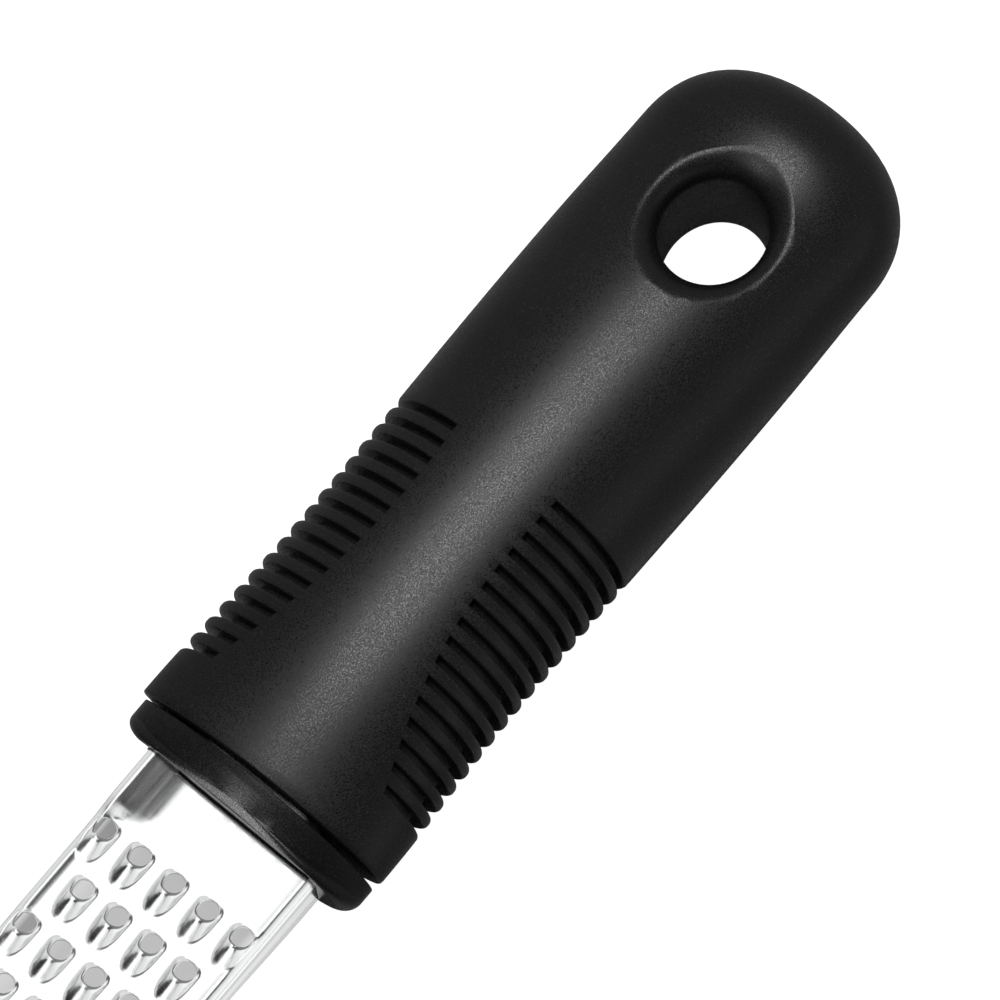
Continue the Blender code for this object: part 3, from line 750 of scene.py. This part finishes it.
def make_collar(context, material):
    """Moulded collar: an extruded oval with a bevelled front, a thin nose and the blade's slot."""
    bm = bmesh.new()
    places = [pocket_place(COLLAR_HIGH.x - GRIP_FRONT, CORE_HALF_WIDTH, CORE_TOP),
              pocket_place(COLLAR_BACK + SPIGOT_START, CORE_HALF_WIDTH, CORE_TOP)]
    for ahead, side_inset, crown_inset, share in COLLAR_REAR:
        places.append(collar_place(COLLAR_BACK - ahead, side_inset, crown_inset,
                                   tuck=JOINT_LEAN * share))
    for step, (behind, inset) in enumerate(COLLAR_CROWN):
        share = step / (len(COLLAR_CROWN) - 1)
        ux, uy = cos(radians(90 * share)), sin(radians(90 * share))
        places.append(collar_place(COLLAR_FRONT + NOSE + behind, CORNER_INSET * (1 - ux), inset,
                                   CORNER_DEPTH * (1 - uy) - behind, FACE_LEAN * share,
                                   FACE_SQUARENESS * share))
    places.append(collar_place(COLLAR_FRONT + NOSE, FACE_SIDE_INSET, FACE_CROWN_INSET, 0.0, FACE_LEAN,
                               FACE_SQUARENESS))
    sweep(bm, AROUND, places)
    top = BLADE_LEVEL + NOSE_OVER
    nose = plate_bar((COLLAR_FRONT, NOSE_SIDES[0], BLADE_LEVEL - NOSE_UNDER),
                     (COLLAR_FRONT + NOSE_DEPTH, NOSE_SIDES[1], top), NOSE_EDGE)
    groove = plate_bar((COLLAR_FRONT + GROOVE_START, -GROOVE_HALF_WIDTH, BLADE_LEVEL + GROOVE_FLOOR),
                       (COLLAR_FRONT + NOSE, GROOVE_HALF_WIDTH, top + GROOVE_OVER))
    slot = channel_cutter(COLLAR_FRONT - OUTSIDE, BLADE_ROOT + CLEARANCE, ROOT_WALL_HEIGHT,
                          COLLAR_FRONT)
    bmesh.ops.translate(slot, verts=slot.verts, vec=(0.0, BLADE_SIDE, 0.0))
    bm = combine(context, bm, nose, "UNION")
    bm = combine(context, bm, groove)
    bm = combine(context, bm, slot)
    add_piece(context, bm, "collar_moulding", material, "front_collar", 30)


def make_foot(context, material):
    """Soft foot: a block with rounded corners that the end of the channel is pressed into."""
    bm = bmesh.new()
    low, high = FOOT_LOW - AXIS_START, FOOT_HIGH - AXIS_START
    add_box(bm, low, high)
    upright = [edge for edge in bm.edges if abs(edge.verts[0].co.z - edge.verts[1].co.z) > MERGE
               and edge.verts[0].co.x < (low.x + high.x) / 2]
    round_edges(bm, upright, FOOT_CORNER, 10)
    flat = [edge for edge in bm.edges if abs(edge.verts[0].co.z - edge.verts[1].co.z) < MERGE]
    round_edges(bm, flat, FOOT_EDGE, 4)
    slot = channel_cutter(BLADE_TIP - TIP_ROOM, FOOT_BACK + OUTSIDE, WALL_HEIGHT, BLADE_TIP)
    bm = combine(context, bm, slot)
    add_piece(context, bm, "foot_moulding", material, "tip_foot", 30)


def tile_ends(x):
    """Where the tiles of the row at x start and end along the blade."""
    return x - TOOTH_SHIFT + ROW_PITCH / 2, x - TOOTH_SHIFT - ROW_PITCH / 2


def tile_spot(k, x, low, y, high):
    """Point k of a tooth's tile; eight steps across each end and four along each side."""
    start, end = tile_ends(x)
    turn, side = (k + 4) % TOOTH_POINTS, 1
    if turn >= 12:
        turn, side, start, end = turn - 12, -1, end, start
    along = start + (end - start) * max(turn - 8, 0) / 4
    across = side * min(turn / 4 - 1, 1.0)
    edge = high if across > 0 else low
    return Vector((along, y + abs(across) * (edge - y), BLADE_LEVEL))


def tooth_foot(sizes, k):
    """Outline of a scoop's foot at step k, as (along, across) from the centre of its hole."""
    ux, uy = unit(k, TOOTH_POINTS)
    half_width = sizes.tooth_radius + sizes.tooth_side
    if ux > -0.001:
        return (sizes.tooth_radius + TOOTH_FRONT_EDGE) * ux, half_width * uy
    along = -sizes.tooth_reach * abs(ux) ** TOOTH_FOOT_POWER
    return along, half_width * signed_power(uy, TOOTH_FOOT_POWER)


def tooth_rise(sizes, along, across):
    """Height of a scoop over the sheet: a ramp up to the lip of its hole, arched from side to side."""
    radius, reach = sizes.tooth_radius, sizes.tooth_reach
    half_width = radius + sizes.tooth_side
    if along > -radius:
        ridge = (1 - along / radius) / 2
    else:
        ridge = 1 - ((-along - radius) / (reach - radius)) ** TOOTH_RAMP_POWER
    if along < 0:
        half_width *= max(1 - (-along / reach) ** TOOTH_PLAN_POWER, 0.0) ** (1 / TOOTH_PLAN_POWER)
    arch = 0.0
    if half_width > MERGE:
        arch = max(1 - (across / half_width) ** 2, 0.0) ** TOOTH_ARCH_POWER
    return sizes.tooth_height * max(ridge, 0.0) * arch


def add_tooth(bm, sizes, x, low, y, high):
    """One scoop: the lip of its hole, the flank down to its foot, and its flat tile."""

    def ring(share, width=0.0, height=None):
        def place(k):
            ux, uy = unit(k, TOOTH_POINTS)
            foot_x, foot_y = tooth_foot(sizes, k)
            along = sizes.tooth_radius * ux * (1 - share) + foot_x * share
            across = sizes.tooth_radius * uy * (1 - share) + foot_y * share
            rise = height
            if height is None:
                rise = max(tooth_rise(sizes, along, across), TOOTH_FILLET_HEIGHT * (1 - ux) / 2)
            along += width * signed_power(ux, TOOTH_FOOT_POWER)
            across += width * signed_power(uy, TOOTH_FOOT_POWER)
            return Vector((x + along, y + across, BLADE_LEVEL + rise))
        return place

    places = [ring(share) for share in TOOTH_RINGS]
    places += [ring(1.0, sizes.tooth_fillet * out, TOOTH_FILLET_HEIGHT * up)
               for out, up in TOOTH_FILLET_RINGS]
    places.append(lambda k: tile_spot(k, x, low, y, high))
    sweep(bm, TOOTH_POINTS, places, closed=False)


def add_row(bm, sizes, x, count):
    """One row of teeth across the blade, with plain strips beside the narrower rows."""
    edge = TOOTHED_HALF_WIDTH if count == WIDE_ROW else TOOTH_PITCH * count / 2
    for k in range(count):
        y = TOOTH_PITCH * (k - (count - 1) / 2)
        low = -edge if k == 0 else y - TOOTH_PITCH / 2
        high = edge if k == count - 1 else y + TOOTH_PITCH / 2
        add_tooth(bm, sizes, x, low, y, high)
    if count == WIDE_ROW:
        return
    near, far = tile_ends(x)
    for side in (1, -1):
        grid = bmesh.ops.create_grid(bm, x_segments=4, y_segments=4, size=0.5)["verts"]
        for vert in grid:
            across = between(edge, TOOTHED_HALF_WIDTH, vert.co.y + 0.5)
            vert.co = Vector((between(near, far, vert.co.x + 0.5), side * across, BLADE_LEVEL))


def grow_edges(bm, edges, move):
    """Extrude open edges once and move the new points; returns the new edges."""
    edges, verts = extrude(bm, edges)
    for vert in verts:
        vert.co = move(vert.co)
    return edges


def open_edges(bm, test):
    return [edge for edge in bm.edges if edge.is_boundary and all(test(vert.co) for vert in edge.verts)]


def rolled(co):
    """Point of the flat toothed sheet after its edge is rolled over the start of the bend."""
    turn = (abs(co.y) - FLAT_HALF_WIDTH) / BEND_RADIUS
    if turn <= 0 or co.x > BLADE_ROOT + MERGE:
        return co
    out = BEND_RADIUS + co.z - BLADE_LEVEL
    y = FLAT_HALF_WIDTH + out * sin(turn)
    return Vector((co.x, y if co.y > 0 else -y, BLADE_LEVEL - BEND_RADIUS + out * cos(turn)))


def wall_height(x):
    return between(WALL_HEIGHT, ROOT_WALL_HEIGHT, ease((x - COLLAR_FRONT + ROOT_FLARE) / ROOT_FLARE))


def add_toothed_plate(bm, sizes):
    """All the rows of teeth: a pair of rows, copied along the blade, and the last row."""
    add_row(bm, sizes, FIRST_ROW, WIDE_ROW)
    add_row(bm, sizes, FIRST_ROW - ROW_PITCH, WIDE_ROW - 1)
    pair = everything(bm)
    for k in range(1, ROWS // 2):
        made = bmesh.ops.duplicate(bm, geom=pair)["geom"]
        bmesh.ops.translate(bm, verts=moved_verts(made), vec=(-2 * ROW_PITCH * k, 0.0, 0.0))
    add_row(bm, sizes, FIRST_ROW - ROW_PITCH * (ROWS - 1), WIDE_ROW)
    bmesh.ops.remove_doubles(bm, verts=bm.verts, dist=MERGE)


def add_plain_ends(bm):
    """Plain sheet at both ends of the teeth, and the tang behind it."""
    near = tile_ends(FIRST_ROW)[0]
    far = near - ROW_PITCH * ROWS
    edges = open_edges(bm, lambda co: abs(co.x - near) < MERGE)
    plain = COLLAR_FRONT - near
    for x in [near + plain * step / PLAIN_STEPS for step in range(1, PLAIN_STEPS + 1)] + [BLADE_ROOT]:
        edges = grow_edges(bm, edges, lambda co, x=x: Vector((x, co.y, co.z)))
    root = [edge for edge in edges if all(abs(v.co.y) < TANG_HALF_WIDTH + MERGE for v in edge.verts)]
    edges = open_edges(bm, lambda co: abs(co.x - far) < MERGE)
    grow_edges(bm, edges, lambda co: Vector((BLADE_TIP, co.y, co.z)))
    grow_edges(bm, root, lambda co: Vector((TANG_END, co.y, co.z)))


def bend_sides(bm, steps):
    """Roll the sheet's long edges over, and draw the bends and walls down from them."""
    edges = open_edges(bm, lambda co: abs(abs(co.y) - TOOTHED_HALF_WIDTH) < MERGE)
    for cut in RIM_CUTS:
        for side in (1, -1):
            slice_along(bm, side * (FLAT_HALF_WIDTH + cut), MERGE)
    for vert in bm.verts:
        vert.co = rolled(vert.co)
    started = (TOOTHED_HALF_WIDTH - FLAT_HALF_WIDTH) / BEND_RADIUS
    for k in range(1, steps + 1):
        turn = started + (pi / 2 - started) * k / steps
        y = FLAT_HALF_WIDTH + BEND_RADIUS * sin(turn)
        z = BLADE_LEVEL - BEND_RADIUS * (1 - cos(turn))
        edges = grow_edges(bm, edges, lambda co, y=y, z=z: Vector((co.x, y if co.y > 0 else -y, z)))
    for share in (0.5, 1.0):
        edges = grow_edges(bm, edges, lambda co, share=share: Vector((
            co.x, co.y, BLADE_LEVEL - BEND_RADIUS - (wall_height(co.x) - BEND_RADIUS) * share)))


def make_blade(context, sizes, material):
    """Toothed channel: rows of scoops, plain ends, two bends with their walls, and the tang."""
    bm = bmesh.new()
    add_toothed_plate(bm, sizes)
    add_plain_ends(bm)
    bend_sides(bm, sizes.bend_steps)
    bmesh.ops.recalc_face_normals(bm, faces=bm.faces)
    plate = max(bm.faces, key=lambda face: face.calc_area() * abs(face.normal.z))
    if plate.normal.z < 0:
        bmesh.ops.reverse_faces(bm, faces=bm.faces)
    for vert in bm.verts:
        if vert.co.x < BLADE_ROOT + MERGE:
            vert.co.z += plate_rise(vert.co.x, vert.co.y)
    bmesh.ops.translate(bm, verts=bm.verts, vec=(0.0, BLADE_SIDE, 0.0))
    piece = add_piece(context, bm, "blade_scooped_channel", material,
                      "toothed_blade", 55)
    sheet = piece.modifiers.new("sheet", "SOLIDIFY")
    sheet.thickness = SHEET
    sheet.offset = -1.0
    sheet.use_even_offset = True


class Wiring:
    """Shorthand for the nodes of one material or world."""

    def __init__(self, owner):
        owner.use_nodes = True
        self.owner = owner
        self.tree = owner.node_tree
        self.shader = self.tree.nodes.get("Principled BSDF") or self.tree.nodes["Background"]

    def new(self, kind):
        return self.tree.nodes.new(kind)

    def put(self, socket, value):
        """Link an output to a socket, or set its value."""
        if isinstance(value, bpy.types.NodeSocket):
            self.tree.links.new(value, socket)
        else:
            socket.default_value = value

    def feed(self, node, **values):
        """Put values or outputs into a node's inputs, which are named with _ for a space."""
        for key, value in values.items():
            self.put(node.inputs[key.replace("_", " ")], value)
        return node

    def axes(self, source="Object"):
        """X, Y and Z of the Object coordinates, or of the direction in a world."""
        place, parts = self.new("ShaderNodeTexCoord"), self.new("ShaderNodeSeparateXYZ")
        return self.feed(parts, Vector=place.outputs[source]).outputs

    def noise(self, scale, detail=2.0, roughness=0.5, stretch=(1.0, 1.0, 1.0)):
        """Noise on Object coordinates, stretched along the axes; returns its value output."""
        place, mapping = self.new("ShaderNodeTexCoord"), self.new("ShaderNodeMapping")
        self.feed(mapping, Vector=place.outputs["Object"], Scale=stretch)
        noise = self.feed(self.new("ShaderNodeTexNoise"), Vector=mapping.outputs["Vector"], Scale=scale,
                          Detail=detail, Roughness=roughness)
        return noise.outputs["Fac"]

    def spread(self, value, low, high, near=0.35, far=0.65):
        """Value mapped from near..far to low..high."""
        node = self.feed(self.new("ShaderNodeMapRange"), Value=value, From_Min=near, From_Max=far,
                         To_Min=low, To_Max=high)
        return node.outputs["Result"]

    def maths(self, operation, *values):
        """Outcome of an operation on outputs and numbers."""
        node = self.new("ShaderNodeMath")
        node.operation = operation
        for socket, value in zip(node.inputs, values):
            self.put(socket, value)
        return node.outputs[0]

    def blend(self, share, first, second):
        """Colour between the first and the second, each a colour or an output."""
        node = self.new("ShaderNodeMix")
        node.data_type = "RGBA"
        return self.feed(node, Factor=share, A=first, B=second).outputs["Result"]

    def bump(self, height, distance, strength=1.0, **below):
        node = self.feed(self.new("ShaderNodeBump"), Height=height, Distance=distance,
                         Strength=strength, **below)
        return node.outputs["Normal"]


def paint(colour, share=1.0):
    """Colour times a share, with its alpha."""
    return (*[min(part * share, 1.0) for part in colour], 1.0)


def moulded_black(name, colour, grain, roughness, grain_depth, uneven):
    """Black moulding with a fine spark-eroded grain, and light specks in its colour that are painted
    glints.
    """
    wiring = Wiring(bpy.data.materials.new(name))
    cloudy = wiring.spread(wiring.noise(90.0, 3.0), 0.0, 1.0)
    tint = wiring.blend(cloudy, paint(colour, 0.85), paint(colour, 1.2))
    # Light specks in the colour: painted glints of sparkle in the grain
    painted_glints = wiring.spread(wiring.noise(1.0 / grain, 0.0), 0.0, 1.0, 0.68, 0.85)
    fine = wiring.noise(1.1 / grain, 2.0, 0.6)
    wiring.feed(wiring.shader, IOR=1.4, Base_Color=wiring.blend(painted_glints, tint, paint(colour, 6.0)),
                Roughness=wiring.spread(fine, roughness - uneven, roughness + uneven),
                Normal=wiring.bump(fine, grain_depth))
    return wiring.owner


def polished_steel(name, colour, roughness):
    """Rolled and polished sheet: faint lines along the blade, a slight waviness, painted shade on the walls
    and a painted dark reflection line along the bends.
    """
    wiring = Wiring(bpy.data.materials.new(name))
    lines = wiring.noise(900.0, 3.0, 0.6, (0.04, 1.0, 1.0))
    tint = wiring.blend(wiring.spread(lines, 0.0, 1.0), paint(colour, 0.97), paint(colour))
    # Painted shade darkens the walls below the sheet, and a painted dark reflection line runs along the
    # bends
    height = wiring.axes()["Z"]
    top = BLADE_LEVEL + AXIS_HEIGHT
    wall = wiring.spread(height, WALL_PAINTED_SHADE_SHARE, 1.0, top - WALL_PAINTED_SHADE_FADE[0], top - WALL_PAINTED_SHADE_FADE[1])
    off_line = wiring.maths("ABSOLUTE", wiring.maths("SUBTRACT", height, top - BEND_PAINTED_REFLECTION_LINE))
    bend = wiring.spread(off_line, BEND_PAINTED_REFLECTION_SHARE, 1.0, *BEND_PAINTED_REFLECTION_FADE)
    painted_shade_and_reflection = wiring.blend(wiring.maths("MULTIPLY", bend, wall), paint((0.0, 0.0, 0.0)), tint)
    waves = wiring.bump(wiring.noise(110.0, 1.0), 0.00001, 0.10)
    wiring.feed(wiring.shader, Metallic=1.0, Base_Color=painted_shade_and_reflection,
                Roughness=wiring.spread(lines, roughness * 0.75, roughness * 1.35),
                Normal=wiring.bump(lines, 0.000001, 0.1, Normal=waves))
    return wiring.owner


def rubber_material(finish):
    name = "grained_soft_black"
    return bpy.data.materials.get(name) or moulded_black(
        name, finish.rubber_colour, finish.grain_size, *RUBBER_FINISH)


def steel_material(finish):
    name = "polished_sheet"
    return bpy.data.materials.get(name) or polished_steel(name, finish.steel_colour, STEEL_ROUGHNESS)


class GRATER_OT_blade(bpy.types.Operator):
    """Make the toothed steel channel"""

    bl_idname = "grater.blade"
    bl_label = "Toothed Blade"

    def execute(self, context):
        make_blade(context, context.scene.grater_sizes, steel_material(context.scene.grater_finish))
        return {"FINISHED"}


class GRATER_OT_grip(bpy.types.Operator):
    """Make the soft grip with its ribs and hanging hole"""

    bl_idname = "grater.grip"
    bl_label = "Soft Grip"

    def execute(self, context):
        make_grip(context, context.scene.grater_sizes, rubber_material(context.scene.grater_finish))
        return {"FINISHED"}


class GRATER_OT_collar(bpy.types.Operator):
    """Make the collar between the blade and the grip"""

    bl_idname = "grater.collar"
    bl_label = "Front Collar"

    def execute(self, context):
        finish = context.scene.grater_finish
        make_collar(context, moulded_black("grained_collar", finish.collar_colour, finish.grain_size,
                                           *COLLAR_FINISH))
        return {"FINISHED"}


class GRATER_OT_foot(bpy.types.Operator):
    """Make the soft foot on the free end of the blade"""

    bl_idname = "grater.foot"
    bl_label = "Tip Foot"

    def execute(self, context):
        make_foot(context, rubber_material(context.scene.grater_finish))
        return {"FINISHED"}


class GRATER_OT_core(bpy.types.Operator):
    """Finish the core halves and pins that stay inside the grip"""

    bl_idname = "grater.core"
    bl_label = "Core and Pins"

    def execute(self, context):
        grey = moulded_black("core_grey_moulding", CORE_COLOUR, CORE_GRAIN, *CORE_FINISH)
        steel = steel_material(context.scene.grater_finish)
        for node in ("core_upper_half", "core_lower_half", "tang_pin_front", "tang_pin_rear"):
            for slot in frame["nodes"][node].material_slots:
                slot.material = steel if "pin" in node else grey
        return {"FINISHED"}


def aimed(place, right, up, back):
    """Matrix of an object at a place that faces away from back."""
    return Matrix.Translation(place) @ Matrix((right, up, back)).transposed().to_4x4()


def soft_box(context, name, place, target, width, depth, glow, only):
    """Rectangular studio light, turned to a target, that lights the pieces of one collection."""
    light = bpy.data.lights.new(name, "AREA")
    light.shape = "RECTANGLE"
    light.size = width
    light.size_y = depth
    light.energy = glow * pi * width * depth
    item = add_item(context, name, light)
    back = (Vector(place) - Vector(target)).normalized()
    along = (Vector((1, 0, 0)) - back * back.x).normalized()
    item.matrix_world = aimed(place, along, back.cross(along), back)
    item.visible_camera = False
    item.light_linking.receiver_collection = only


def make_camera(context):
    """Camera at the photograph's viewing angle: a long lens from above the blade's free end."""
    look = Vector(LOOK).normalized()
    turn = radians(CAMERA_TURN)
    along = (Vector((1, 0, 0)) - look * look.x).normalized()
    right = along * cos(turn) + look.cross(along) * sin(turn)
    camera = bpy.data.cameras.new("camera")
    camera.sensor_width = SENSOR
    camera.lens = FOCAL_SHARE * SENSOR
    camera.clip_start = 0.05
    camera.clip_end = 20.0
    item = add_item(context, "camera", camera)
    item.matrix_world = aimed(Vector(AIM) - look * CAMERA_DISTANCE, right, right.cross(look), -look)
    context.scene.camera = item


def floor_material(colour):
    """Pale floor that glows, with a painted shadow under the blade where it glows less, darkest in a
    painted band along its far side, so that the steel mirrors something dark.
    """
    wiring = Wiring(bpy.data.materials.new("pale_floor"))
    place = wiring.axes()
    # Painted shadow under the blade: the floor glows less inside these borders and ends
    off_middle = wiring.maths("ABSOLUTE", wiring.maths("SUBTRACT", place["Y"], PAINTED_SHADOW_MIDDLE))
    beside = wiring.spread(off_middle, 0.0, 1.0, *PAINTED_SHADOW_BORDER)
    behind = wiring.spread(place["X"], 0.0, 1.0, COLLAR_LOW.x, COLLAR_LOW.x + PAINTED_SHADOW_END)
    beyond = wiring.spread(place["X"], 1.0, 0.0, FOOT_LOW.x - PAINTED_SHADOW_PAST_FOOT, FOOT_LOW.x + PAINTED_SHADOW_END)
    outside = wiring.maths("MAXIMUM", beside, wiring.maths("MAXIMUM", behind, beyond))
    # Darker painted shadow band along the far side of the blade
    painted_shadow_glow = wiring.spread(place["Y"], *PAINTED_SHADOW_GLOW, *PAINTED_SHADOW_CHANGE)
    wiring.feed(wiring.shader, Roughness=0.9, Base_Color=paint(colour), Emission_Color=(1.0, 1.0, 1.0, 1.0),
                Emission_Strength=wiring.spread(outside, painted_shadow_glow, 1.0, 0.0, 1.0))
    return wiring.owner


def make_floor(context, colour):
    bm = bmesh.new()
    bmesh.ops.create_grid(bm, x_segments=1, y_segments=1, size=FLOOR_HALF_SIZE)
    floor = add_mesh(context, "floor", bm)
    floor.data.materials.append(floor_material(colour))
    floor.location.z = GRIP_LOW.z - FLOOR_DROP
    return floor


def light_groups(context):
    """Collections of the meshes that each set of studio lights reaches, by name."""
    own = {"blade_scooped_channel": "lit_steel", "collar_moulding": "lit_collar"}
    groups = {name: bpy.data.collections.new(name) for name in (*own.values(), "lit_black")}
    for name, group in own.items():
        groups[group].objects.link(bpy.data.objects[name])
    for item in context.scene.objects:
        if item.type == "MESH" and item.name not in own:
            groups["lit_black"].objects.link(item)
    return groups


def make_world(context):
    """Soft surround that gets darker towards the free end and overhead."""
    world = bpy.data.worlds.new("studio")
    wiring = Wiring(world)
    way = wiring.axes("Generated")
    wiring.feed(wiring.shader, Color=paint((0.9, 0.9, 0.9)), Strength=wiring.maths(
        "MULTIPLY", wiring.spread(way["X"], *WORLD_SIDE), wiring.spread(way["Z"], *WORLD_OVER)))
    context.scene.world = world


class GRATER_OT_stage(bpy.types.Operator):
    """Make the floor with its painted shadow under the blade, the soft light and the camera"""

    bl_idname = "grater.stage"
    bl_label = "Stage"

    def execute(self, context):
        finish = context.scene.grater_finish
        floor = make_floor(context, finish.floor_colour)
        groups = light_groups(context)
        floor.light_linking.receiver_collection = groups["lit_steel"]
        for name, place, target, width, depth, glow, group in STUDIO_LIGHTS:
            soft_box(context, name, place, target, width, depth, glow * finish.light_strength,
                     groups[group])
        make_world(context)
        context.scene.view_settings.view_transform = "Standard"
        make_camera(context)
        return {"FINISHED"}


class GRATER_PT_panel(bpy.types.Panel):
    """Pieces of the grater and its stage"""

    bl_idname = "GRATER_PT_panel"
    bl_label = "Hand Grater"
    bl_space_type = "VIEW_3D"
    bl_region_type = "UI"
    bl_category = "Grater"

    def draw(self, context):
        layout = self.layout
        for group in (context.scene.grater_sizes, context.scene.grater_finish):
            box = layout.box()
            for name in group.__annotations__:
                box.prop(group, name)
        for operator in OPERATORS:
            layout.operator(operator.bl_idname)


OPERATORS = (GRATER_OT_blade, GRATER_OT_grip, GRATER_OT_collar, GRATER_OT_foot, GRATER_OT_core,
             GRATER_OT_stage)
CLASSES = (GraterSizes, GraterFinish, *OPERATORS, GRATER_PT_panel)


def register():
    for entry in CLASSES:
        bpy.utils.register_class(entry)
    bpy.types.Scene.grater_sizes = PointerProperty(type=GraterSizes)
    bpy.types.Scene.grater_finish = PointerProperty(type=GraterFinish)


def unregister():
    del bpy.types.Scene.grater_finish
    del bpy.types.Scene.grater_sizes
    for entry in reversed(CLASSES):
        bpy.utils.unregister_class(entry)


def main():
    register()
    bpy.ops.grater.blade()
    bpy.ops.grater.grip()
    bpy.ops.grater.collar()
    bpy.ops.grater.foot()
    bpy.ops.grater.core()
    bpy.ops.grater.stage()


if __name__ == "__main__":
    main()
